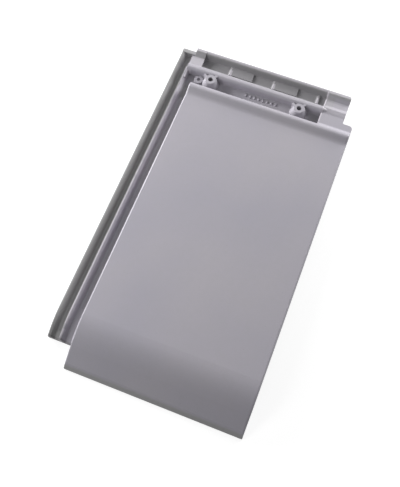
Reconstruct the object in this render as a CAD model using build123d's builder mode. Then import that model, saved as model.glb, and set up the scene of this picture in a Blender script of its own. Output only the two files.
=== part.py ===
from build123d import *
from math import atan, cos, degrees, radians, sin, tan
import os

# Interlocking clay roof tile, pressed and fired as one piece. It lies on the floor with its weather face up.
# X runs across the tile towards its cover edge, Y runs up the roof towards the head, Z is up.
# The origin is the middle of the box around the tile, on the floor.

# Overall sizes, millimetres and degrees
tile_length = 492.4
face_width = 236.2
lock_width = 33.3
face_height = 27.6
face_thickness = 12.0
edge_radius = 2.5
hidden_radius = 1.0

# Nose, where the whole section bends down to meet the tile below
nose_reach = 68.0
nose_radius = 90.0
nose_slope = 27.0
nose_cutback = 1.2
nose_fill_start = 9.0
lip_reach = 6.5
lip_height = 1.4
lip_radius = 8.0
lip_edge_radius = 1.1
bed_overrun = 60.0
cut_overrun = 30.0

# Head, measured down the roof from the head edge
rim_width = 5.1
rim_draft = 3.6
rim_radius = 4.5
upper_trough_width = 21.7
upper_trough_depth = 10.0
rib_width = 10.0
rib_radius = 4.9
rib_drop = 1.0
lower_trough_width = 22.1
lower_trough_depth = 12.0
ridge_height = 4.8
ridge_radius = 7.5
ramp_slope = 28.0
ramp_radius = 12.0
wall_draft = 1.5
crest_radius = 1.4
root_radius = 1.5
head_thickness = 8.0
head_taper = 28.0

# Side lock, the two water channels that the next tile covers
lock_lower_end = 29.2
lock_head_gap = 1.5
lock_corner_radius = 3.0
outer_rim_drop = 8.1
outer_rim_tilt = 0.9
outer_rim_width = 3.6
outer_rim_height = 8.0
outer_rim_flank = 4.4
channel_drop = 14.5
channel_draft = 0.8
outer_channel_width = 12.0
middle_rib_drop = 6.8
middle_rib_width = 2.6
middle_rib_flank = 4.4
lock_floor_thickness = 6.0
lock_root_width = 6.0
lock_end_wall = 6.5
lock_crest_radius = 1.1
wide_rib_start = 443.0
wide_rib_width = 4.8
wide_rib_flank = 1.6

# Cover lip on the other side, with two ribs that hang into the channels of the next tile
side_gap = 2.0
lip_thickness = 5.8
cover_rib_width = 5.5
cover_rib_height = 7.0
cover_edge_width = 6.5

# Left landing beside the upper trough, and how far the head rim reaches past the face
left_landing_start = 15.0
left_landing_width = 18.5
left_landing_drop = 4.0
rim_overhang = 11.6
bank_reach = 8.0

# Right landing, which carries the cross rib on to the cover edge as a soft wave, and the notch in the corner
right_landing_width = 48.3
landing_edge_radius = 1.8
landing_drop = 4.0
wave_shift = 3.5
wave_height = 1.4
wave_radius = 4.0
wave_fade = 10.0
wave_back_drop = 4.6
ridge_back_slope = 45.0
notch_width = 14.6
notch_length = 44.2
notch_radius = 5.0
notch_root_radius = 1.5

# Screw bosses in the lower trough, with a blind disc beside them
boss_base_diameter = 25.0
boss_top_diameter = 15.0
boss_drop = 0.5
screw_hole_diameter = 7.0
first_boss_inset = 24.6
boss_spacing = 132.7
boss_from_rib = 7.6
web_width = 3.2
web_length = 12.5
web_angles = (-34.0, 64.0)
web_drop = 1.0
disc_diameter = 13.0
disc_height = 2.2
disc_dimple_diameter = 5.0
disc_inset = 6.5

# Raised pads on the floor of the upper trough: distance from the face's edge, and width
pads = ((45.2, 34.0), (110.5, 36.0), (176.5, 2.4))
pad_height = 1.8
pad_length = 17.2
pad_slope = 2.5
pad_draft = 0.5

# Underside
nib_width = 40.0
nib_length = 17.0
nib_from_head = 19.0
nib_offset = 42.0
nib_taper = 4.0
foot_rib_width = 6.0
foot_rib_places = (44.0, 78.0)
foot_rib_clearance = 2.0

# Places that follow from the sizes
tile_width = lock_width + face_width
left = -tile_width / 2
face_left = left + lock_width
right = tile_width / 2
foot = -tile_length / 2
head = tile_length / 2
face_under = face_height - face_thickness

rim_inner = head - rim_width
bank_foot = rim_inner - bank_reach
rib_back = rim_inner - upper_trough_width
rib_front = rib_back - rib_width
rib_middle = (rib_front + rib_back) / 2
rib_top = face_height - rib_drop
lower_floor = face_height - lower_trough_depth
upper_floor = face_height - upper_trough_depth
head_under = lower_floor - head_thickness

ridge_back = rib_front - lower_trough_width
ridge_middle = ridge_back - ridge_radius
ridge_top = face_height + ridge_height
ramp_lean = radians(ramp_slope)
ramp_top = ridge_middle - ridge_radius * sin(ramp_lean)
ramp_run = (ridge_height - (ridge_radius + ramp_radius) * (1 - cos(ramp_lean))) / tan(ramp_lean)
ramp_start = ramp_top - ramp_run - ramp_radius * sin(ramp_lean)

lock_head = head - lock_head_gap
outer_rim_top = face_height - outer_rim_drop
channel_floor = face_height - channel_drop
lock_under = channel_floor - lock_floor_thickness
lock_bevel = outer_rim_top - outer_rim_height - lock_under
outer_channel_left = left + outer_rim_width
middle_rib_left = outer_channel_left + outer_channel_width
middle_rib_top = face_height - middle_rib_drop
wide_rib_y = foot + wide_rib_start

landing_left = right - right_landing_width
landing_top = face_height - landing_drop
wave_back = face_height - wave_back_drop
fade_taper = degrees(atan((rib_top - landing_top) / wave_fade))
back_lean = radians(ridge_back_slope)
back_start = ridge_middle + ridge_radius * sin(back_lean)
back_top = ridge_top - ridge_radius * (1 - cos(back_lean)) - hidden_radius / 2
back_foot = back_start + (back_top - landing_top) / tan(back_lean)
left_landing_left = face_left - left_landing_start
left_landing_right = left_landing_left + left_landing_width
left_landing_top = face_height - left_landing_drop
rim_left = face_left - rim_overhang
head_right = right - notch_width
notch_y = head - notch_length

lip_left = left + face_width
lip_under = face_height - lip_thickness
next_channel_left = outer_channel_left + face_width + side_gap + outer_rim_flank
next_channel_width = outer_channel_width - outer_rim_flank
cover_rib_left = next_channel_left + (next_channel_width - cover_rib_width) / 2
cover_rib_under = lip_under - cover_rib_height
cover_ribs = ((cover_rib_left, cover_rib_left + cover_rib_width), (right - cover_edge_width, right))

boss_y = rib_front - boss_from_rib
boss_top = face_height - boss_drop
boss_taper = degrees(atan((boss_base_diameter - boss_top_diameter) / 2 / (boss_top - lower_floor)))
boss_places = [(face_left + first_boss_inset, boss_y), (face_left + first_boss_inset + boss_spacing, boss_y)]
nib_middle = (face_left + lip_left) / 2
nib_y = head - nib_from_head - nib_length / 2
nib_places = [(nib_middle - nib_offset, nib_y), (nib_middle + nib_offset, nib_y)]

nose_lean = radians(nose_slope)
nose_left = face_left + nose_cutback
bend_end = foot + nose_reach - nose_radius * sin(nose_lean)
bend_height = face_height - nose_radius * (1 - cos(nose_lean))
fill_start = (0, bend_end - nose_fill_start * cos(nose_lean), bend_height - nose_fill_start * sin(nose_lean))
fill_left = lip_left - hidden_radius
fill_right = right - edge_radius
lip_start = foot + lip_reach
lip_top = bend_height - (bend_end - lip_start) * tan(nose_lean)


def bed_path(start_y):
    """Line that the tile's section follows: flat, then round and straight down the nose."""
    with BuildLine(Plane.YZ) as bed:
        flat = Line((start_y, face_height), (foot + nose_reach, face_height))
        bend = JernArc(flat @ 1, (0, -1, 0), nose_radius, nose_slope)
        Line(bend @ 1, (bend @ 1) + (bend % 1) * bed_overrun)
    return bed.wires()[0]


def outline(*corners):
    """Closed outline through corners given as across, up and rounding radius."""
    FilletPolyline(*[corner[:2] for corner in corners], radius=[corner[2] for corner in corners], close=True)


def rib_section(width, flank):
    """Section of the middle rib: a steep side towards the outer channel, a flank towards the inner one."""
    return (
        (middle_rib_left, middle_rib_top, lock_crest_radius),
        (middle_rib_left + width, middle_rib_top, lock_crest_radius),
        (middle_rib_left + width + flank, channel_floor, 0),
        (middle_rib_left + width + flank, lock_under + hidden_radius, 0),
        (middle_rib_left - channel_draft, lock_under + hidden_radius, 0),
        (middle_rib_left - channel_draft, channel_floor, 0),
    )


# Section of the cover side: the weather face with the lip and its two ribs
face_section = (
    (face_left, face_height, edge_radius),
    (right, face_height, edge_radius),
    (right, cover_rib_under, hidden_radius),
    (right - cover_edge_width, cover_rib_under, hidden_radius),
    (right - cover_edge_width - channel_draft, lip_under, hidden_radius),
    (cover_rib_left + cover_rib_width + channel_draft, lip_under, hidden_radius),
    (cover_rib_left + cover_rib_width, cover_rib_under, hidden_radius),
    (cover_rib_left, cover_rib_under, hidden_radius),
    (cover_rib_left - channel_draft, lip_under, hidden_radius),
    (lip_left + channel_draft, lip_under, hidden_radius),
    (lip_left, face_under, hidden_radius),
    (face_left, face_under, 0),
)

# Section of the side lock: outer rim, outer channel, inner channel, and the root under the face
lock_bed = (
    (left, outer_rim_top, lock_crest_radius),
    (outer_channel_left, outer_rim_top - outer_rim_tilt, lock_crest_radius),
    (outer_channel_left + outer_rim_flank, channel_floor, root_radius),
    (face_left - channel_draft, channel_floor, root_radius),
    (face_left, face_under + hidden_radius, 0),
    (face_left + lock_root_width, face_under, 0),
    (face_left + lock_root_width, lock_under, hidden_radius),
    (left + lock_bevel, lock_under, hidden_radius),
    (left, outer_rim_top - outer_rim_height, hidden_radius),
)

# Profile along the tile behind the ridge: lower trough, cross rib, upper trough and head rim
trough_profile = (
    (ridge_middle, lip_under, 0),
    (ridge_back, lip_under, 0),
    (ridge_back + wall_draft, lower_floor, root_radius),
    (rib_front - wall_draft, lower_floor, root_radius),
    (rib_front, rib_top, rib_radius),
    (rib_back, rib_top, rib_radius),
    (rib_back + wall_draft, upper_floor, root_radius),
    (rim_inner - rim_draft, upper_floor, root_radius),
    (rim_inner, face_height, rim_radius),
    (head, face_height, crest_radius),
    (head, head_under, hidden_radius),
    (ridge_middle, head_under, 0),
    (ridge_middle - head_taper, face_under, 0),
)

# Profile of the right landing: down the back of the ridge, over the wave and up the bank of the head rim
landing_profile = (
    (back_start, lip_under, 0),
    (back_start, back_top, 0),
    (back_foot, landing_top, wave_radius),
    (rib_front, landing_top, wave_radius),
    (rib_middle + wave_shift, landing_top + wave_height, wave_radius),
    (rib_back + wave_shift, wave_back, wave_radius),
    (bank_foot, wave_back, root_radius),
    (rim_inner, face_height, rim_radius),
    (head, face_height, crest_radius),
    (head, lip_under, 0),
)

# Ridge across the head of the face: a hollow ramp, a full round crest and a steep back
with BuildPart() as ridge:
    with BuildSketch(Plane.YZ.offset(face_left)):
        with BuildLine():
            hollow = JernArc((ramp_start, face_height), (1, 0), ramp_radius, ramp_slope)
            ramp = Line(hollow @ 1, (ramp_top, ridge_top - ridge_radius * (1 - cos(ramp_lean))))
            crest = JernArc(ramp @ 1, ramp % 1, ridge_radius, -ramp_slope - 90)
            Polyline(crest @ 1, (ridge_back, lip_under), (ramp_start, lip_under), hollow @ 0)
        make_face()
    extrude(amount=face_width)
    ends = edges().group_by(Axis.X)
    fillet([edge for edge in ends[0] + ends[-1] if edge.center().Z > face_height], edge_radius)

# Right landing, with a rounded edge towards the troughs
with BuildPart() as landing:
    with BuildSketch(Plane.YZ.offset(landing_left)):
        with BuildLine():
            outline(*landing_profile)
        make_face()
    extrude(amount=right - landing_left)
    for level, start, end in ((landing_top, ridge_back, rib_middle), (wave_back, rib_middle, bank_foot)):
        roll_foot = level - landing_edge_radius
        with BuildSketch(Plane.XZ.offset(-end)):
            with BuildLine():
                roll = JernArc((landing_left, roll_foot), (0, 1), landing_edge_radius, -90)
                Polyline(
                    roll @ 1,
                    (landing_left + landing_edge_radius, ridge_top),
                    (landing_left - landing_edge_radius, ridge_top),
                    (landing_left - landing_edge_radius, roll_foot),
                    roll @ 0,
                )
            make_face()
        extrude(amount=end - start, mode=Mode.SUBTRACT)

with BuildPart() as roof_tile:
    # Side lock, flat along the tile and bent down with the nose
    with BuildSketch(Plane.XZ.offset(-lock_head)):
        with BuildLine():
            outline(*lock_bed)
        make_face()
    sweep(path=bed_path(lock_head))

    # Middle rib, with a wider top beside the head troughs
    with BuildSketch(Plane.XZ.offset(-wide_rib_y)):
        with BuildLine():
            outline(*rib_section(middle_rib_width, middle_rib_flank))
        make_face()
    sweep(path=bed_path(wide_rib_y))
    with BuildSketch(Plane.XZ.offset(-rib_middle)):
        with BuildLine():
            outline(*rib_section(wide_rib_width, wide_rib_flank))
        make_face()
    extrude(amount=rib_middle - wide_rib_y)

    # Weather face
    with BuildSketch(Plane.XZ.offset(-ridge_middle)):
        with BuildLine():
            outline(*face_section)
        make_face()
    sweep(path=bed_path(ridge_middle))
    add(ridge.part)

    # Solid corner under the nose, where the cover lip has no lock to reach over
    with BuildSketch(Plane(fill_start, x_dir=(1, 0, 0), z_dir=(0, -cos(nose_lean), -sin(nose_lean)))):
        with Locations((fill_left, -lip_thickness / 2)):
            Rectangle(fill_right - fill_left, face_height, align=(Align.MIN, Align.MAX))
    extrude(amount=bed_overrun)

    # Troughs, cross rib and head rim
    with BuildSketch(Plane.YZ.offset(face_left)):
        with BuildLine():
            outline(*trough_profile)
        make_face()
    extrude(amount=landing_left - face_left)

    # Right landing, the cross rib's end that fades into it, and the solid below it up to the cover lip
    add(landing.part)
    with BuildSketch(Plane.YZ.offset(landing_left)):
        with BuildLine():
            outline(
                (rib_front, lower_floor, 0),
                (rib_front, rib_top, rib_radius),
                (rib_back, rib_top, rib_radius),
                (rib_back, lower_floor, 0),
            )
        make_face()
    extrude(amount=wave_fade, taper=fade_taper)
    with BuildSketch(Plane.YZ.offset(landing_left)):
        with BuildLine():
            outline(
                (ridge_middle, lip_under, 0),
                (head, lip_under, 0),
                (head, head_under, hidden_radius),
                (ridge_middle, head_under, 0),
                (ridge_middle - head_taper, face_under, 0),
                (ridge_middle, face_under, 0),
            )
        make_face()
    extrude(amount=lip_left - landing_left)

    # Left landing, the bank and rim behind it, and the cross rib's end in front of it
    with BuildSketch(Plane.YZ.offset(left_landing_left)):
        with BuildLine():
            outline(
                (rib_middle, left_landing_top, 0),
                (bank_foot, left_landing_top, 0),
                (bank_foot, head_under, 0),
                (rib_middle, head_under, 0),
            )
        make_face()
    extrude(amount=left_landing_width)
    with BuildSketch(Plane.YZ.offset(rim_left)):
        with BuildLine():
            outline(
                (rib_middle, left_landing_top, 0),
                (bank_foot, left_landing_top, root_radius),
                (rim_inner, face_height, rim_radius),
                (head, face_height, crest_radius),
                (head, head_under, 0),
                (rib_middle, head_under, 0),
            )
        make_face()
    extrude(amount=left_landing_right - rim_left)
    with BuildSketch(Plane.YZ.offset(left_landing_left)):
        with BuildLine():
            outline(
                (rib_front - wall_draft, lock_under + hidden_radius, 0),
                (rib_front, rib_top, rib_radius),
                (rib_back, rib_top, rib_radius),
                (rib_back + wall_draft, lock_under + hidden_radius, 0),
            )
        make_face()
    extrude(amount=left_landing_width)

    # Wall that closes the outer channel
    with BuildSketch(Plane.YZ.offset(left)):
        with BuildLine():
            outline(
                (lock_head - lock_end_wall - channel_draft, channel_floor, 0),
                (lock_head - lock_end_wall, outer_rim_top, crest_radius),
                (lock_head, outer_rim_top, crest_radius),
                (lock_head, lock_under, 0),
                (lock_head - lock_end_wall - channel_draft, lock_under, 0),
            )
        make_face()
    extrude(amount=rim_left - left)

    # Cover ribs run on under the landing, up to the notch and the head
    for rib_left, rib_right in cover_ribs:
        with BuildSketch(Plane.XZ.offset(-head)):
            with BuildLine():
                outline(
                    (rib_left - channel_draft, lip_under + hidden_radius, 0),
                    (rib_left, cover_rib_under, hidden_radius),
                    (rib_right, cover_rib_under, hidden_radius),
                    (rib_right, lip_under + hidden_radius, 0),
                )
            make_face()
        extrude(amount=head - ridge_middle)

    # Screw bosses, each tied to the cross rib by two splayed webs, and the blind disc
    with BuildSketch(Plane.XY.offset(lower_floor)):
        with Locations(*boss_places):
            Circle(boss_base_diameter / 2)
    extrude(amount=boss_top - lower_floor, taper=boss_taper)
    with BuildSketch(Plane.XY.offset(lower_floor)):
        with Locations(*boss_places):
            for angle in web_angles:
                with Locations(Location((0, 0, 0), (0, 0, angle))):
                    Rectangle(web_width, web_length, align=(Align.CENTER, Align.MIN))
    extrude(amount=boss_top - lower_floor - web_drop)
    with BuildSketch(Plane.XY.offset(lower_floor)):
        with Locations((face_left + disc_inset, boss_y)):
            Circle(disc_diameter / 2)
            Circle(disc_dimple_diameter / 2, mode=Mode.SUBTRACT)
    extrude(amount=disc_height)

    # Raised pads in the upper trough, each with a sloping side towards the lock
    with BuildSketch(Plane.XZ.offset(-rim_inner)):
        for pad_start, pad_width in pads:
            with BuildLine():
                Polyline(
                    (face_left + pad_start - pad_slope, upper_floor - hidden_radius),
                    (face_left + pad_start - pad_slope, upper_floor),
                    (face_left + pad_start, upper_floor + pad_height),
                    (face_left + pad_start + pad_width, upper_floor + pad_height),
                    (face_left + pad_start + pad_width + pad_draft, upper_floor - hidden_radius),
                    close=True,
                )
            make_face()
    extrude(amount=pad_length)

    # Nibs that hang on the batten, and ribs that cover the head of the tile below
    with BuildSketch(Plane.XY.offset(head_under)):
        with Locations(*nib_places):
            Rectangle(nib_width, nib_length)
    extrude(amount=-head_under, taper=nib_taper)
    for rib_place in foot_rib_places:
        with BuildSketch(Plane.XY.offset(face_under)):
            with Locations((face_left, foot + rib_place)):
                Rectangle(lip_left - face_left, foot_rib_width, align=(Align.MIN, Align.CENTER))
        extrude(amount=foot_rib_clearance - face_under)

    # Plan outline with the notch at the head and the shorter lock at the foot
    with BuildSketch():
        with BuildLine():
            outline(
                (left, foot + lock_lower_end, 0),
                (nose_left, foot + lock_lower_end, 0),
                (nose_left, foot, hidden_radius),
                (right, foot, hidden_radius),
                (right, notch_y, notch_radius),
                (head_right, notch_y, notch_root_radius),
                (head_right, head, notch_radius),
                (rim_left, head, 0),
                (rim_left, lock_head, 0),
                (left, lock_head, lock_corner_radius),
            )
        make_face()
    extrude(amount=ridge_top + hidden_radius, mode=Mode.INTERSECT)

    # Rounded lip at the nose
    with BuildSketch(Plane.YZ.offset(face_left)):
        with BuildLine():
            outline(
                (lip_start + cut_overrun, lip_top + cut_overrun * tan(nose_lean) + hidden_radius, 0),
                (lip_start, lip_top, lip_radius),
                (foot, lip_height, lip_edge_radius),
                (foot, 0, 0),
                (foot - hidden_radius, 0, 0),
                (foot - hidden_radius, lip_top + cut_overrun, 0),
            )
        make_face()
    extrude(amount=face_width, mode=Mode.SUBTRACT)

    # Screw holes through the bosses
    with Locations(*[(x, y, boss_top) for x, y in boss_places]):
        Hole(screw_hole_diameter / 2)

roof_tile.part.label = "roof_tile"

os.makedirs("parts", exist_ok=True)
export_step(roof_tile.part, "parts/roof_tile.step")
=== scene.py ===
"""Looks of one interlocking clay roof tile: its fired finish, its relief marks and the studio.

Everything is in metres, in the frame of the pressed tile: X runs across the tile to its cover
edge, Y runs up the roof to its head, and Z is up from the floor that the tile lies on.
"""
import logging
import math
from collections.abc import Mapping
from dataclasses import dataclass, field
from enum import Enum
from typing import ClassVar

import bmesh
import bpy
from mathutils import Matrix, Vector


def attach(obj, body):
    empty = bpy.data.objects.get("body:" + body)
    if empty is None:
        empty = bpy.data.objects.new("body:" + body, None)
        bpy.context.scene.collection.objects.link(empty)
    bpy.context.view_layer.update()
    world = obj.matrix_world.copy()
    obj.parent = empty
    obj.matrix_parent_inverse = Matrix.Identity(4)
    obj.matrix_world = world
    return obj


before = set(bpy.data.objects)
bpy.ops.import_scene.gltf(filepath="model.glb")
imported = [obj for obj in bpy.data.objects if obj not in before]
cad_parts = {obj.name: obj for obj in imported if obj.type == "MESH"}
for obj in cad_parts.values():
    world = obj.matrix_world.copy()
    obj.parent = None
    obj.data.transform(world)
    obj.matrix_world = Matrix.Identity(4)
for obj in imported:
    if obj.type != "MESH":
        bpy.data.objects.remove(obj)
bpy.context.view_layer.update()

Colour = tuple[float, float, float, float]
Place = tuple[float, float, float]
Span = tuple[float, float]
Socket = bpy.types.NodeSocket
Reading = Socket | float | Colour | Place
LOG = logging.getLogger("roof_tile")
MILLIMETRE = 0.001
QUARTER_TURN = math.radians(90)

# Sockets that share their name with another socket of their node, and so go by number.
MIX_FACTOR, MIX_FIRST, MIX_SECOND, MIX_RESULT = 0, 6, 7, 2
RANGE_FROM_LOW, RANGE_FROM_HIGH, RANGE_TO_LOW, RANGE_TO_HIGH = 7, 8, 9, 10


class Shade(Enum):
    """Colours of the clay and of the studio, in linear light."""

    ENGOBE_COOL = (0.382, 0.368, 0.420, 1.0)
    ENGOBE_WARM = (0.420, 0.400, 0.440, 1.0)
    # Grey of thin coat and mottle; in the thin-coat zones it is also painted shade.
    THIN_ENGOBE_AND_SHADE = (0.344, 0.341, 0.345, 1.0)
    # Lighter grey of worn edges, also painted highlight on crests, edges and lit slopes.
    WORN_EDGE_AND_HIGHLIGHT = (0.530, 0.505, 0.550, 1.0)
    IRON_SPECK = (0.200, 0.190, 0.200, 1.0)
    # Grey of dust in hollows, also painted shade in hollows and in the shaded zones.
    DUST_AND_SHADE = (0.190, 0.185, 0.188, 1.0)
    BARE_CLAY = (0.300, 0.288, 0.295, 1.0)
    PAPER = (0.400, 0.400, 0.400, 1.0)
    WHITE = (1.0, 1.0, 1.0, 1.0)


class Slot(Enum):
    """Material slots of the record."""

    FIRED_CLAY = "fired_clay"


class Kind(Enum):
    """Kinds of sockets that an effect has."""

    NUMBER = "NodeSocketFloat"
    VECTOR = "NodeSocketVector"


class Sum(Enum):
    """Ways to work out one number from two."""

    PLUS = "ADD"
    TIMES = "MULTIPLY"
    LARGER = "MAXIMUM"
    IS_BELOW = "LESS_THAN"
    IS_ABOVE = "GREATER_THAN"


class Move(Enum):
    """Ways to work out one vector from others."""

    ONWARD = "ADD"
    BACK = "SUBTRACT"
    SCALED = "SCALE"
    UNSIGNED = "ABSOLUTE"


@dataclass(frozen=True)
class Wiring:
    """Adds and joins the nodes of one tree.

    Attributes:
        tree: the node tree that is being filled.
    """

    tree: bpy.types.NodeTree

    def feed(self, target: Socket, reading: Reading) -> None:
        """Sets an input to a number or a colour, or joins it to an output.

        Args:
            target: the input.
            reading: what it takes.
        """
        if isinstance(reading, Socket):
            self.tree.links.new(reading, target)
        else:
            target.default_value = reading

    def add(
        self,
        kind: str,
        inputs: Mapping[str | int, Reading] | None = None,
        **settings: str | bool | int | bpy.types.NodeTree,
    ) -> bpy.types.Node:
        """Adds a node.

        Args:
            kind: Blender's name of the kind of node, after "ShaderNode".
            inputs: what each input takes, by its name or its number.
            settings: other settings of the node.

        Returns:
            The new node.
        """
        node = self.tree.nodes.new("ShaderNode" + kind)
        for name, value in settings.items():
            setattr(node, name, value)
        for name, reading in (inputs or {}).items():
            self.feed(node.inputs[name], reading)
        return node

    def sum(self, way: Sum, first: Reading, second: Reading) -> Socket:
        """Works out one number from two.

        Args:
            way: how it is worked out.
            first: the first number.
            second: the second number.

        Returns:
            The output that holds the result.
        """
        return self.add("Math", {0: first, 1: second}, operation=way.value).outputs[0]

    def move(self, way: Move, vector: Reading, by: Reading | None = None) -> Socket:
        """Works out one vector from another.

        Args:
            way: how it is worked out.
            vector: the vector that goes in.
            by: the vector or the number that it is moved or scaled by.

        Returns:
            The output that holds the result.
        """
        inputs = {0: vector}
        if by is not None:
            inputs["Scale" if way is Move.SCALED else 1] = by
        return self.add("VectorMath", inputs, operation=way.value).outputs["Vector"]

    def spread(self, value: Reading, span: Span, onto: Span = (0.0, 1.0)) -> Socket:
        """Stretches a span of numbers over another, and holds the result inside it.

        Args:
            value: the number that goes in.
            span: the numbers that give the start and the end.
            onto: what these two become.

        Returns:
            The output that holds the result.
        """
        names = ("Value", "From Min", "From Max", "To Min", "To Max")
        return self.add("MapRange", dict(zip(names, (value, *span, *onto)))).outputs["Result"]

    def blend(self, factor: Reading, first: Reading, second: Reading) -> Socket:
        """Blends two colours.

        Args:
            factor: how much of the second there is, from 0 to 1.
            first: the colour at 0.
            second: the colour at 1.

        Returns:
            The output that holds the blended colour.
        """
        inputs = {MIX_FACTOR: factor, MIX_FIRST: first, MIX_SECOND: second}
        return self.add("Mix", inputs, data_type="RGBA").outputs[MIX_RESULT]

    def noise(
        self, coordinates: Reading, scale: Reading, detail: float, roughness: float = 0.5
    ) -> Socket:
        """Adds a cloudy noise.

        Args:
            coordinates: where on the piece the noise is read.
            scale: lumps in a metre.
            detail: how many finer layers lie over the first.
            roughness: how strong the finer layers are.

        Returns:
            The output that holds the noise, from 0 to 1.
        """
        inputs = {
            "Vector": coordinates, "Scale": scale, "Detail": detail, "Roughness": roughness,
        }
        return self.add("TexNoise", inputs).outputs["Fac"]


@dataclass
class Effect:
    """A shader node group with named inputs and outputs, shared by the finishes.

    Attributes:
        name: name of the group.
        inputs: names of its number inputs, which each material sets.
        outputs: names of its outputs, each with its kind.
        tree: the group's own tree.
        wiring: what adds and joins the nodes of that tree.
        source: the node that brings the inputs in.
        sink: the node that takes the outputs.
    """

    name: str
    inputs: tuple[str, ...]
    outputs: dict[str, Kind]
    tree: bpy.types.NodeTree = field(init=False)
    wiring: Wiring = field(init=False)
    source: bpy.types.Node = field(init=False)
    sink: bpy.types.Node = field(init=False)

    def __post_init__(self) -> None:
        """Makes the group's tree and its sockets, and fills it."""
        self.tree = bpy.data.node_groups.new(self.name, "ShaderNodeTree")
        self.add_socket("Place", "INPUT", Kind.VECTOR)
        for name in self.inputs:
            self.add_socket(name, "INPUT", Kind.NUMBER)
        for name, kind in self.outputs.items():
            self.add_socket(name, "OUTPUT", kind)
        self.wiring = Wiring(self.tree)
        self.source = self.tree.nodes.new("NodeGroupInput")
        self.sink = self.tree.nodes.new("NodeGroupOutput")
        self.fill()

    def add_socket(self, name: str, side: str, kind: Kind) -> None:
        """Adds a socket to the group.

        Args:
            name: its name.
            side: INPUT or OUTPUT.
            kind: its kind.
        """
        self.tree.interface.new_socket(name, in_out=side, socket_type=kind.value)

    def fill(self) -> None:
        """Fills the group; each effect does this in its own way."""
        raise NotImplementedError

    def place(
        self, wiring: Wiring, coordinates: Socket, **values: float
    ) -> bpy.types.NodeOutputs:
        """Puts the group into a material.

        Args:
            wiring: the material's nodes.
            coordinates: where on the piece the effect is read.
            values: the material's own values for the inputs.

        Returns:
            The outputs of the group's node in the material.
        """
        inputs = {"Place": coordinates, **values}
        return wiring.add("Group", inputs, node_tree=self.tree).outputs


class FiredGrain(Effect):
    """Fine sandy grain of fired clay under its engobe, and the low waves that the press leaves.

    Attributes:
        pit_scale: pits for each grain, along a line.
        pit_span: how far from its middle a pit is deepest, and how far it reaches.
        grain_share: how much of the height is grain.
        pit_share: how much of it is pits.
        wave_share: how much of it is waves.
    """

    pit_scale: ClassVar[float] = 0.22
    pit_span: ClassVar[Span] = (0.05, 0.22)
    grain_share: ClassVar[float] = 0.35
    pit_share: ClassVar[float] = 0.15
    wave_share: ClassVar[float] = 0.9

    def __init__(self) -> None:
        """Names the group's sockets."""
        super().__init__("fired_grain", ("Grains", "Waves"), {"Height": Kind.NUMBER})

    def fill(self) -> None:
        """Adds grain, pits and waves into one height."""
        wiring, ends = self.wiring, self.source.outputs
        grain = wiring.noise(ends["Place"], ends["Grains"], detail=3.0, roughness=0.6)
        pit_scale = wiring.sum(Sum.TIMES, ends["Grains"], self.pit_scale)
        pits = wiring.add("TexVoronoi", {"Vector": ends["Place"], "Scale": pit_scale})
        pit_mask = wiring.spread(pits.outputs["Distance"], self.pit_span)
        waves = wiring.noise(ends["Place"], ends["Waves"], detail=2.0)
        height = wiring.sum(
            Sum.PLUS,
            wiring.sum(Sum.TIMES, grain, self.grain_share),
            wiring.sum(Sum.TIMES, pit_mask, self.pit_share),
        )
        height = wiring.sum(Sum.PLUS, height, wiring.sum(Sum.TIMES, waves, self.wave_share))
        wiring.feed(self.sink.inputs["Height"], height)


class CloudyTone(Effect):
    """Soft clouds of tone that the sprayed engobe and the kiln's fire leave.

    Attributes:
        finer: how much finer the mottle is than the clouds.
        cloud_span: the noise at which a cloud starts and is full.
        mottle_span: the noise at which the mottle starts and is full.
    """

    finer: ClassVar[float] = 18.0
    cloud_span: ClassVar[Span] = (0.32, 0.68)
    mottle_span: ClassVar[Span] = (0.35, 0.75)

    def __init__(self) -> None:
        """Names the group's sockets."""
        outputs = {"Clouds": Kind.NUMBER, "Mottle": Kind.NUMBER}
        super().__init__("cloudy_tone", ("Scale",), outputs)

    def fill(self) -> None:
        """Makes broad clouds and a finer mottle."""
        wiring, ends = self.wiring, self.source.outputs
        clouds = wiring.noise(ends["Place"], ends["Scale"], detail=2.0)
        mottle_scale = wiring.sum(Sum.TIMES, ends["Scale"], self.finer)
        mottle = wiring.noise(ends["Place"], mottle_scale, detail=4.0, roughness=0.6)
        wiring.feed(self.sink.inputs["Clouds"], wiring.spread(clouds, self.cloud_span))
        wiring.feed(self.sink.inputs["Mottle"], wiring.spread(mottle, self.mottle_span))


class IronSpecks(Effect):
    """Small dark specks of iron that melt through the engobe.

    Attributes:
        rarity: share of the cells that have no speck.
    """

    rarity: ClassVar[float] = 0.82

    def __init__(self) -> None:
        """Names the group's sockets."""
        super().__init__("iron_specks", ("Scale", "Size"), {"Mask": Kind.NUMBER})

    def fill(self) -> None:
        """Keeps only some cells of a cell pattern, and a small spot in each."""
        wiring, ends = self.wiring, self.source.outputs
        cells = wiring.add("TexVoronoi", {"Vector": ends["Place"], "Scale": ends["Scale"]})
        spot = wiring.sum(Sum.IS_BELOW, cells.outputs["Distance"], ends["Size"])
        colour = wiring.add("SeparateColor", {"Color": cells.outputs["Color"]})
        chosen = wiring.sum(Sum.IS_ABOVE, colour.outputs["Red"], self.rarity)
        wiring.feed(self.sink.inputs["Mask"], wiring.sum(Sum.TIMES, spot, chosen))


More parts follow.
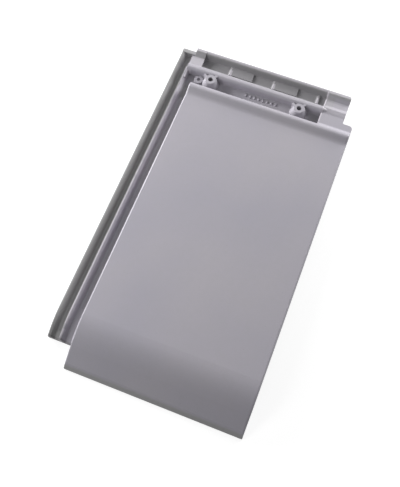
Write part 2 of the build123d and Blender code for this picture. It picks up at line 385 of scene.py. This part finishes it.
class SoftEdges(Effect):
    """Edges rounded by the die and rubbed in handling, and lightened along them as wear and
    painted highlight.

    Attributes:
        rays: rays that look for an edge.
        turn_span: cosine of the turn at which the lightening starts and is full.
        patch_scale: patches of lightening in a metre.
        patch_span: the noise at which a patch starts and is full.
        patch_wear_and_highlight: lightening outside the patches and in them.
    """

    rays: ClassVar[int] = 6
    turn_span: ClassVar[Span] = (0.995, 0.85)
    patch_scale: ClassVar[float] = 160.0
    patch_span: ClassVar[Span] = (0.35, 0.6)
    patch_wear_and_highlight: ClassVar[Span] = (0.35, 1.0)

    def __init__(self) -> None:
        """Names the group's sockets."""
        outputs = {"Normal": Kind.VECTOR, "Wear": Kind.NUMBER}
        super().__init__("soft_edges", ("Radius", "Width"), outputs)

    def fill(self) -> None:
        """Rounds the normal at edges, and finds where it turns away from the true one, to
        lighten edges with wear and painted highlight.
        """
        wiring, ends = self.wiring, self.source.outputs
        rounded = wiring.add("Bevel", {"Radius": ends["Radius"]}, samples=self.rays).outputs[0]
        wide = wiring.add("Bevel", {"Radius": ends["Width"]}, samples=self.rays).outputs[0]
        true = wiring.add("NewGeometry").outputs["Normal"]
        dot = wiring.add("VectorMath", {0: wide, 1: true}, operation="DOT_PRODUCT")
        turned = wiring.spread(dot.outputs["Value"], self.turn_span)
        patches = wiring.noise(ends["Place"], self.patch_scale, detail=3.0)
        patches = wiring.spread(patches, self.patch_span, self.patch_wear_and_highlight)
        wiring.feed(self.sink.inputs["Normal"], rounded)
        # Lighter along edges: partly wear, partly painted highlight.
        wiring.feed(self.sink.inputs["Wear"], wiring.sum(Sum.TIMES, turned, patches))


class DustAndShadeInHollows(Effect):
    """Dust and kiln soot that stay in corners and channels, and painted shade that darkens
    these hollows.

    Attributes:
        rays: rays that look for a hollow.
        open_span: open share of the sky at which the darkening starts and is full.
        patch_scale: patches of darkening in a metre.
        patch_span: the noise at which a patch starts and is full.
        patch_dust_and_shade: darkening outside the patches and in them.
    """

    rays: ClassVar[int] = 8
    open_span: ClassVar[Span] = (0.75, 0.15)
    patch_scale: ClassVar[float] = 90.0
    patch_span: ClassVar[Span] = (0.3, 0.7)
    patch_dust_and_shade: ClassVar[Span] = (0.6, 1.0)

    def __init__(self) -> None:
        """Names the group's sockets."""
        super().__init__("dust_and_shade_in_hollows", ("Reach",), {"Mask": Kind.NUMBER})

    def fill(self) -> None:
        """Finds hollows to darken with dust and painted shade, and breaks their edge up with
        noise.
        """
        wiring, ends = self.wiring, self.source.outputs
        # Darker where less of the sky is open: dust, and painted shade in hollows.
        hollow = wiring.add("AmbientOcclusion", {"Distance": ends["Reach"]}, samples=self.rays)
        depth = wiring.spread(hollow.outputs["AO"], self.open_span)
        patches = wiring.noise(ends["Place"], self.patch_scale, detail=4.0, roughness=0.6)
        patches = wiring.spread(patches, self.patch_span, self.patch_dust_and_shade)
        wiring.feed(self.sink.inputs["Mask"], wiring.sum(Sum.TIMES, depth, patches))


@dataclass(frozen=True)
class Patch:
    """A soft-edged block of space on the tile, in millimetres.

    Attributes:
        name: what it covers.
        middle: its middle.
        reach: half its size along each axis.
        border: width of its soft border.
        strength: the mask inside it.
        turn: how far it is turned about Z, degrees.
    """

    name: str
    middle: Place
    reach: Place
    border: float
    strength: float
    turn: float = 0.0


class CoatShadeAndHighlightZones(Effect):
    """Zones of thin coat, of painted shade and of painted highlight on the tile.

    Attributes:
        thin_coat_and_shade: where the sprayed coat is thin; its darker colour is also painted
            shade.
        painted_shade: where shade in channels, troughs and at ends is painted darker.
        painted_highlights: where highlights on crests, edges and lit slopes are painted
            lighter.
        cloud_scale: bends in a metre of the zones' borders.
        cloud_middle: the cloud's middle, at which a border isn't moved.
    """

    # Thin coat: rougher and coarser, and darker; the darkening is also painted shade in the
    # lock, trough, lip and rim.
    thin_coat_and_shade: ClassVar[tuple[Patch, ...]] = (
        Patch("outer lock", (-127.7, 0.0, 10.0), (8.5, 250.0, 30.0), 1.2, 1.0),
        Patch("nose lip", (0.0, -247.0, 10.0), (140.0, 4.5, 30.0), 2.0, 0.9),
        Patch("head rim", (0.0, 246.0, 25.0), (140.0, 6.0, 10.0), 3.0, 0.8),
        Patch("upper trough", (-8.0, 229.0, 18.0), (106.0, 11.0, 7.5), 2.0, 0.5),
    )
    # Painted shade: darker where channels, troughs, ends and edges lie in shade.
    painted_shade: ClassVar[tuple[Patch, ...]] = (
        Patch("outer channel", (-124.8, 0.0, 13.0), (4.8, 250.0, 5.0), 1.5, 0.38),
        Patch("its root by the rib", (-122.6, 0.0, 13.0), (1.8, 250.0, 5.0), 1.0, 0.70),
        Patch("rib's outer edge", (-119.0, 0.0, 18.0), (0.7, 196.0, 4.0), 0.4, 0.60, 0.32),
        Patch("outer channel's head", (-124.5, 226.0, 13.0), (4.5, 10.0, 5.0), 4.0, 0.65),
        Patch("inner channel", (-107.5, 0.0, 13.0), (6.0, 250.0, 6.0), 1.5, 0.16),
        Patch("its root by the face", (-105.7, 0.0, 14.0), (2.6, 170.0, 6.0), 2.0, 0.48),
        Patch("inner channel's head", (-107.0, 178.0, 4.0), (3.0, 9.0, 8.0), 9.0, 1.00),
        Patch("upper trough's floor", (-4.2, 230.2, 20.0), (90.8, 11.2, 6.2), 1.0, 0.45),
        Patch("left landing's bank", (-106.5, 236.2, 25.0), (9.0, 4.8, 3.2), 1.0, 0.50),
        Patch("lower trough's end", (79.0, 198.0, 16.0), (6.0, 9.0, 3.0), 3.0, 0.40),
        Patch("nose lip's edge", (0.0, -247.0, 10.0), (140.0, 3.0, 30.0), 2.5, 0.15),
        Patch("lock's lower end", (-118.5, -216.4, 12.0), (16.0, 1.6, 30.0), 1.0, 0.60),
        Patch("nose's left edge", (-101.5, -232.0, 12.0), (0.8, 14.0, 30.0), 0.8, 0.45),
    )
    # Painted highlights: lighter where crests, edges and slopes catch the light.
    painted_highlights: ClassVar[tuple[Patch, ...]] = (
        Patch("middle rib", (-116.4, 0.0, 19.5), (1.7, 196.0, 3.0), 1.0, 0.75, 0.32),
        Patch("cross rib's crest", (0.0, 214.6, 26.0), (140.0, 1.4, 4.0), 1.2, 0.40),
        Patch("head rim's crest", (0.0, 244.6, 27.6), (140.0, 2.4, 1.6), 1.0, 0.60),
        Patch("right landing's edge", (87.0, 213.0, 24.5), (0.9, 30.0, 3.0), 0.6, 0.90),
        Patch("left landing", (-107.5, 225.5, 24.0), (9.5, 7.5, 1.5), 1.0, 0.60),
        Patch("rib's wide head", (-113.3, 203.0, 19.0), (2.2, 7.0, 4.0), 1.5, 0.90),
        Patch("rib's lower end", (-114.5, -209.5, 18.5), (3.4, 6.0, 4.0), 1.5, 0.90),
        Patch("right landing's wave", (110.0, 224.0, 23.0), (20.0, 5.0, 4.0), 2.0, 0.45),
        Patch("first pad's slope", (-55.2, 226.0, 18.5), (1.5, 6.6, 1.8), 0.6, 0.90),
        Patch("second pad's slope", (10.1, 226.0, 18.5), (1.5, 6.6, 1.8), 0.6, 0.90),
        Patch("third pad's slope", (75.6, 226.0, 18.5), (1.3, 6.6, 1.8), 0.6, 0.90),
    )
    cloud_scale: ClassVar[float] = 140.0
    cloud_middle: ClassVar[Place] = (0.5, 0.5, 0.5)

    def __init__(self) -> None:
        """Names the group's sockets."""
        outputs = dict.fromkeys(("Thin", "Dusty", "Rubbed"), Kind.NUMBER)
        super().__init__("coat_shade_and_highlight_zones", ("Ragged",), outputs)

    def fill(self) -> None:
        """Marks each kind of zone, with ragged borders."""
        wiring, ends = self.wiring, self.source.outputs
        inputs = {"Vector": ends["Place"], "Scale": self.cloud_scale, "Detail": 2.0}
        cloud = wiring.add("TexNoise", inputs).outputs["Color"]
        shift = wiring.move(Move.BACK, cloud, self.cloud_middle)
        shift = wiring.move(Move.SCALED, shift, ends["Ragged"])
        place = wiring.move(Move.SCALED, ends["Place"], 1 / MILLIMETRE)
        place = wiring.move(Move.ONWARD, place, shift)
        zones = {"Thin": self.thin_coat_and_shade, "Dusty": self.painted_shade, "Rubbed": self.painted_highlights}
        for name, patches in zones.items():
            mask = self.mark(place, patches[0])
            for patch in patches[1:]:
                mask = wiring.sum(Sum.LARGER, mask, self.mark(place, patch))
            wiring.feed(self.sink.inputs[name], mask)

    def mark(self, place: Socket, patch: Patch) -> Socket:
        """Makes the mask of one patch.

        Args:
            place: where on the tile the mask is read, in millimetres.
            patch: the patch.

        Returns:
            The output that holds the mask.
        """
        wiring = self.wiring
        if patch.turn:
            inputs = {
                "Vector": place, "Center": patch.middle, "Angle": math.radians(patch.turn),
            }
            place = wiring.add("VectorRotate", inputs, rotation_type="Z_AXIS").outputs[0]
        away = wiring.move(Move.UNSIGNED, wiring.move(Move.BACK, place, patch.middle))
        inputs = {
            "Vector": away,
            RANGE_FROM_LOW: tuple(size + patch.border for size in patch.reach),
            RANGE_FROM_HIGH: patch.reach,
            RANGE_TO_LOW: (0.0, 0.0, 0.0),
            RANGE_TO_HIGH: (1.0, 1.0, 1.0),
        }
        settings = {"data_type": "FLOAT_VECTOR", "label": patch.name}
        inside = wiring.add("MapRange", inputs, **settings).outputs["Vector"]
        axes = wiring.add("SeparateXYZ", {0: inside}).outputs
        mask = wiring.sum(Sum.TIMES, axes["X"], axes["Y"])
        mask = wiring.sum(Sum.TIMES, mask, axes["Z"])
        return wiring.sum(Sum.TIMES, mask, patch.strength)


@dataclass
class Effects:
    """Every shared effect, each built once.

    Attributes:
        grain: height of the clay's grain.
        tone: clouds and mottle.
        specks: iron specks.
        edges: soft edges, lighter with wear and painted highlight.
        dust_and_shade: dust and painted shade in hollows.
        zones: zones of thin coat, painted shade and painted highlight.
    """

    grain: FiredGrain = field(default_factory=FiredGrain)
    tone: CloudyTone = field(default_factory=CloudyTone)
    specks: IronSpecks = field(default_factory=IronSpecks)
    edges: SoftEdges = field(default_factory=SoftEdges)
    dust_and_shade: DustAndShadeInHollows = field(default_factory=DustAndShadeInHollows)
    zones: CoatShadeAndHighlightZones = field(default_factory=CoatShadeAndHighlightZones)


@dataclass(frozen=True)
class Surface:
    """What the effects find at each point of a material.

    Attributes:
        height: height of the grain.
        tone: clouds and mottle.
        specks: where an iron speck is.
        edges: the softened normal, and wear and painted highlight along edges.
        dust_and_shade: dust and painted shade in hollows.
        zones: zones of thin coat, painted shade and painted highlight.
    """

    height: Socket
    tone: bpy.types.NodeOutputs
    specks: Socket
    edges: bpy.types.NodeOutputs
    dust_and_shade: Socket
    zones: bpy.types.NodeOutputs


@dataclass(frozen=True)
class FiredClay:
    """Satin engobe on fired clay.

    Attributes:
        name: name of the material.
        smoothest: roughness where the engobe lies thick.
        roughest: roughness where it is thin.
        thinnest: sum of mottle and thin coat at which it is roughest.
        grains: grains in a metre.
        waves: low waves in a metre.
        relief: height of the grain, metres.
        coarse: how much higher the grain stands where the coat is thin.
        clouds: clouds of tone in a metre.
        mottle: how far the finer mottle darkens.
        speck_cells: places for a speck in a metre.
        speck_size: size of a speck in its place.
        specks: how dark the iron specks are.
        edge_radius: radius of the soft edges, metres.
        edge_width: how far from an edge it is lightened, metres.
        edge_wear_and_highlight: how far edges lighten, with wear and painted highlight.
        dust_and_shade_reach: how near walls have to be for dust and painted shade, metres.
        dust_and_shade: how far hollows darken, with dust and painted shade.
        ragged: how far the zones' borders wander, millimetres.
        bare_span: the normal's height at which a face that looks down loses its coat.
    """

    name: str = "fired_clay"
    smoothest: float = 0.44
    roughest: float = 0.60
    thinnest: float = 1.4
    grains: float = 900.0
    waves: float = 14.0
    relief: float = 0.00010
    coarse: float = 1.5
    clouds: float = 7.0
    mottle: float = 0.16
    speck_cells: float = 330.0
    speck_size: float = 0.09
    specks: float = 0.5
    edge_radius: float = 0.6 * MILLIMETRE
    edge_width: float = 1.2 * MILLIMETRE
    edge_wear_and_highlight: float = 0.35
    dust_and_shade_reach: float = 12.0 * MILLIMETRE
    dust_and_shade: float = 0.45
    ragged: float = 1.4
    bare_span: Span = (-0.35, -0.75)

    def build(self, effects: Effects) -> bpy.types.Material:
        """Makes the material.

        Args:
            effects: the shared effects.

        Returns:
            The finished material.
        """
        material = bpy.data.materials.new(self.name)
        material.use_nodes = True
        wiring = Wiring(material.node_tree)
        shader = material.node_tree.nodes["Principled BSDF"]
        surface = self.survey(wiring, effects)
        wiring.feed(shader.inputs["Base Color"], self.colour(wiring, surface))
        wiring.feed(shader.inputs["Roughness"], self.roughness(wiring, surface))
        wiring.feed(shader.inputs["Normal"], self.normal(wiring, surface))
        return material

    def survey(self, wiring: Wiring, effects: Effects) -> Surface:
        """Places every effect in the material, with this clay's values.

        Args:
            wiring: the material's nodes.
            effects: the shared effects.

        Returns:
            What the effects find.
        """
        here = wiring, wiring.add("TexCoord").outputs["Object"]
        grain = effects.grain.place(*here, Grains=self.grains, Waves=self.waves)
        specks = effects.specks.place(*here, Scale=self.speck_cells, Size=self.speck_size)
        edges = effects.edges.place(*here, Radius=self.edge_radius, Width=self.edge_width)
        return Surface(
            height=grain["Height"],
            tone=effects.tone.place(*here, Scale=self.clouds),
            specks=specks["Mask"],
            edges=edges,
            dust_and_shade=effects.dust_and_shade.place(*here, Reach=self.dust_and_shade_reach)["Mask"],
            zones=effects.zones.place(*here, Ragged=self.ragged),
        )

    def colour(self, wiring: Wiring, surface: Surface) -> Socket:
        """Lays the colours over each other, from the engobe up to the worn edges and painted
        highlights.

        Args:
            wiring: the material's nodes.
            surface: what the effects find.

        Returns:
            The output that holds the colour.
        """
        mottle = wiring.sum(Sum.TIMES, surface.tone["Mottle"], self.mottle)
        specks = wiring.sum(Sum.TIMES, surface.specks, self.specks)
        # Hollows darker: dust, and painted shade.
        dust_and_shade = wiring.sum(Sum.TIMES, surface.dust_and_shade, self.dust_and_shade)
        # Edges and highlight zones lighter: wear, and painted highlight.
        wear_and_highlights = wiring.sum(Sum.TIMES, surface.edges["Wear"], self.edge_wear_and_highlight)
        wear_and_highlights = wiring.sum(Sum.LARGER, wear_and_highlights, surface.zones["Rubbed"])
        colour = Shade.ENGOBE_COOL.value
        for share, shade in (
            (surface.tone["Clouds"], Shade.ENGOBE_WARM),
            (mottle, Shade.THIN_ENGOBE_AND_SHADE),
            # Thin-coat zones darker, partly as painted shade.
            (surface.zones["Thin"], Shade.THIN_ENGOBE_AND_SHADE),
            (specks, Shade.IRON_SPECK),
            (self.downward(wiring), Shade.BARE_CLAY),
            (dust_and_shade, Shade.DUST_AND_SHADE),
            # Painted shade in channels, troughs and along ends and edges.
            (surface.zones["Dusty"], Shade.DUST_AND_SHADE),
            (wear_and_highlights, Shade.WORN_EDGE_AND_HIGHLIGHT),
        ):
            colour = wiring.blend(share, colour, shade.value)
        return colour

    def downward(self, wiring: Wiring) -> Socket:
        """Finds the faces that look down, where the engobe was never sprayed.

        Args:
            wiring: the material's nodes.

        Returns:
            The output that holds the mask.
        """
        normal = wiring.add("NewGeometry").outputs["Normal"]
        height = wiring.add("SeparateXYZ", {0: normal}).outputs["Z"]
        return wiring.spread(height, self.bare_span)

    def roughness(self, wiring: Wiring, surface: Surface) -> Socket:
        """Makes the clay rougher where its coat is mottled, dusty or thin.

        Args:
            wiring: the material's nodes.
            surface: what the effects find.

        Returns:
            The output that holds the roughness.
        """
        thin_coat_and_shade = wiring.sum(Sum.LARGER, surface.dust_and_shade, surface.zones["Thin"])
        thin_coat_and_shade = wiring.sum(Sum.PLUS, surface.tone["Mottle"], thin_coat_and_shade)
        return wiring.spread(thin_coat_and_shade, (0.0, self.thinnest), (self.smoothest, self.roughest))

    def normal(self, wiring: Wiring, surface: Surface) -> Socket:
        """Raises the grain over the softened edges, higher where the coat is thin.

        Args:
            wiring: the material's nodes.
            surface: what the effects find.

        Returns:
            The output that holds the normal.
        """
        gain = wiring.sum(Sum.TIMES, surface.zones["Thin"], self.coarse)
        gain = wiring.sum(Sum.PLUS, 1.0, gain)
        inputs = {
            "Height": wiring.sum(Sum.TIMES, surface.height, gain),
            "Normal": surface.edges["Normal"],
            "Distance": self.relief,
            "Strength": 1.0,
        }
        return wiring.add("Bump", inputs).outputs["Normal"]


@dataclass
class TileBody:
    """The pressed tile itself, a solid that model.glb brings in.

    Attributes:
        node: name of its node in model.glb.
    """

    node: str = "roof_tile"

    def dress(self, clay: bpy.types.Material) -> bpy.types.Object:
        """Gives the solid its finish.

        Args:
            clay: the finish.

        Returns:
            The dressed object.
        """
        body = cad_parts[self.node]
        body.data.materials.clear()
        body.data.materials.append(clay)
        return body


@dataclass
class MouldPips:
    """A row of raised pips that the mould leaves on the floor of the lower trough.

    Attributes:
        name: name of the piece.
        count: how many there are.
        pitch: distance between two of them, metres.
        middle: middle of the row, on the trough's floor.
        width: width of a pip across the tile.
        length: length of a pip along the tile.
        rise: height over the floor.
        sunk: depth under the floor.
        fullness: how fast its top draws in; less is fuller.
        rings: steps of its rounded top.
        sides: sides of its outline.
    """

    name: str = "mould_pips"
    count: int = 8
    pitch: float = 6.4 * MILLIMETRE
    middle: Place = (0.0, 0.2022, 0.0156)
    width: float = 3.4 * MILLIMETRE
    length: float = 5.0 * MILLIMETRE
    rise: float = 1.0 * MILLIMETRE
    sunk: float = 0.3 * MILLIMETRE
    fullness: float = 0.6
    rings: int = 6
    sides: int = 28

    def build(self, clay: bpy.types.Material) -> bpy.types.Object:
        """Makes the row as one piece.

        Args:
            clay: the finish.

        Returns:
            The new object.
        """
        mesh = bpy.data.meshes.new(self.name)
        shape = bmesh.new()
        for number in range(self.count):
            self.add_pip(shape, (number - (self.count - 1) / 2) * self.pitch)
        shape.to_mesh(mesh)
        shape.free()
        mesh.shade_smooth()
        mesh.materials.append(clay)
        pips = bpy.data.objects.new(self.name, mesh)
        pips.location = self.middle
        bpy.context.collection.objects.link(pips)
        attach(pips, "root")
        return pips

    def add_pip(self, shape: bmesh.types.BMesh, across: float) -> None:
        """Adds one domed pip.

        Args:
            shape: the mesh that it joins.
            across: its distance from the middle of the row.
        """
        rows = [self.add_ring(shape, across, 1.0, -self.sunk)]
        for step in range(self.rings):
            lean = QUARTER_TURN * step / self.rings
            reach = math.cos(lean) ** self.fullness
            rows.append(self.add_ring(shape, across, reach, math.sin(lean) * self.rise))
        for lower, upper in zip(rows, rows[1:]):
            for turn in range(self.sides):
                after = (turn + 1) % self.sides
                shape.faces.new((lower[turn], lower[after], upper[after], upper[turn]))
        shape.faces.new(rows[-1])
        shape.faces.new(reversed(rows[0]))

    def add_ring(
        self, shape: bmesh.types.BMesh, across: float, reach: float, level: float
    ) -> list[bmesh.types.BMVert]:
        """Adds one ring of a pip's points.

        Args:
            shape: the mesh that it joins.
            across: the pip's distance from the middle of the row.
            reach: share of the full outline.
            level: height over the floor.

        Returns:
            The ring's points in order.
        """
        half_width, half_length = self.width / 2 * reach, self.length / 2 * reach
        turns = [2 * math.pi * turn / self.sides for turn in range(self.sides)]
        places = [
            (across + half_width * math.cos(turn), half_length * math.sin(turn), level)
            for turn in turns
        ]
        return [shape.verts.new(place) for place in places]


@dataclass(frozen=True)
class PaperFloor:
    """Matt paper under the tile, which the camera sees as white with a faint shadow.

    Attributes:
        name: name of the material.
        roughness: roughness of the paper.
        glow: light of its own towards the camera.
        share: how much of the shadow the camera sees.
    """

    name: str = "paper_floor"
    roughness: float = 0.9
    glow: float = 0.80
    share: float = 0.40

    def build(self) -> bpy.types.Material:
        """Makes the material.

        Returns:
            The finished material.
        """
        material = bpy.data.materials.new(self.name)
        material.use_nodes = True
        wiring = Wiring(material.node_tree)
        paper = material.node_tree.nodes["Principled BSDF"]
        output = material.node_tree.nodes["Material Output"]
        wiring.feed(paper.inputs["Base Color"], Shade.PAPER.value)
        wiring.feed(paper.inputs["Roughness"], self.roughness)
        lit = wiring.add("BsdfDiffuse", {"Color": (self.share, self.share, self.share, 1.0)})
        glow = wiring.add("Emission", {"Color": Shade.WHITE.value, "Strength": self.glow})
        white = wiring.add("AddShader", {0: lit.outputs[0], 1: glow.outputs[0]})
        inputs = {0: seen_directly(wiring), 1: paper.outputs[0], 2: white.outputs[0]}
        wiring.feed(output.inputs["Surface"], wiring.add("MixShader", inputs).outputs[0])
        return material


def seen_directly(wiring: Wiring) -> Socket:
    """Finds rays that show the background itself: to the camera, in a gloss, or through glass.

    Args:
        wiring: the nodes of the floor or the world.

    Returns:
        The output that is 1 on such rays.
    """
    path = wiring.add("LightPath").outputs
    gloss = wiring.sum(Sum.LARGER, path["Is Glossy Ray"], path["Is Transmission Ray"])
    return wiring.sum(Sum.LARGER, path["Is Camera Ray"], gloss)


@dataclass(frozen=True)
class Lamp:
    """A square studio lamp.

    Attributes:
        name: name of the lamp.
        place: where it hangs.
        energy: its power, watts.
        size: side of its face, metres.
        aim: the point that it faces.
    """

    name: str
    place: Place
    energy: float
    size: float = 0.4
    aim: Place = (0.0, 0.0, 0.0)

    def hang(self) -> None:
        """Makes the lamp and turns it to its aim."""
        light = bpy.data.lights.new(self.name, "AREA")
        light.energy = self.energy
        light.size = self.size
        lamp = bpy.data.objects.new(self.name, light)
        lamp.location = self.place
        gaze = Vector(self.aim) - Vector(self.place)
        lamp.rotation_euler = gaze.to_track_quat("-Z", "Y").to_euler()
        bpy.context.collection.objects.link(lamp)


@dataclass
class Studio:
    """Floor, light and camera.

    Attributes:
        floor_size: side of the square floor, metres.
        daylight: strength of the even light from all round.
        lamps: the lamps.
        camera_place: where the camera stands.
        aim: the point that it looks at.
        roll: turn of the camera about its own axis, degrees.
        lens: focal length, millimetres.
    """

    floor_size: float = 6.0
    daylight: float = 0.19
    lamps: tuple[Lamp, ...] = (
        Lamp("left_lamp", (-1.084, 0.395, 0.331), 19.6),
        Lamp("head_lamp", (0.577, 0.999, 0.331), 12.9),
        Lamp("fill_lamp", (-0.796, -0.668, 0.600), 4.1),
    )
    camera_place: Place = (0.1194, -0.3508, 0.8513)
    aim: Place = (0.0006, -0.0393, 0.0276)
    roll: float = 22.74
    lens: float = 51.0

    def build(self) -> None:
        """Sets up the floor, the world, the lamps and the camera."""
        self.lay_floor()
        self.light_world()
        for lamp in self.lamps:
            lamp.hang()
        self.place_camera()

    def lay_floor(self) -> None:
        """Lays the floor."""
        bpy.ops.mesh.primitive_plane_add(size=self.floor_size)
        floor = bpy.context.object
        floor.name = "studio_floor"
        floor.data.materials.append(PaperFloor().build())

    def light_world(self) -> None:
        """Gives the world its even grey light, and a white background to look at."""
        world = bpy.data.worlds.new("studio_world")
        world.use_nodes = True
        wiring = Wiring(world.node_tree)
        even = world.node_tree.nodes["Background"]
        output = world.node_tree.nodes["World Output"]
        wiring.feed(even.inputs["Color"], Shade.WHITE.value)
        wiring.feed(even.inputs["Strength"], self.daylight)
        white = wiring.add("Background", {"Color": Shade.WHITE.value, "Strength": 1.0})
        inputs = {0: seen_directly(wiring), 1: even.outputs[0], 2: white.outputs[0]}
        wiring.feed(output.inputs["Surface"], wiring.add("MixShader", inputs).outputs[0])
        bpy.context.scene.world = world

    def place_camera(self) -> None:
        """Stands the camera at the photograph's angle."""
        data = bpy.data.cameras.new("photo_camera")
        data.lens = self.lens
        camera = bpy.data.objects.new("photo_camera", data)
        place = Vector(self.camera_place)
        back = (place - Vector(self.aim)).normalized()
        side = Vector((0, 1, 0)).cross(back).normalized()
        upright = Matrix((side, back.cross(side), back)).transposed()
        turned = upright @ Matrix.Rotation(math.radians(self.roll), 3, "Z")
        camera.matrix_world = Matrix.Translation(place) @ turned.to_4x4()
        bpy.context.collection.objects.link(camera)
        bpy.context.scene.camera = camera


def main() -> None:
    """Builds every sub-assembly in order."""
    logging.basicConfig(level=logging.INFO)
    bpy.context.scene.view_settings.view_transform = "Standard"
    clay = FiredClay().build(Effects())
    LOG.info("dressed %s", TileBody().dress(clay).name)
    LOG.info("added %s", MouldPips().build(clay).name)
    Studio().build()
    LOG.info("set up the studio")


if __name__ == "__main__":
    main()
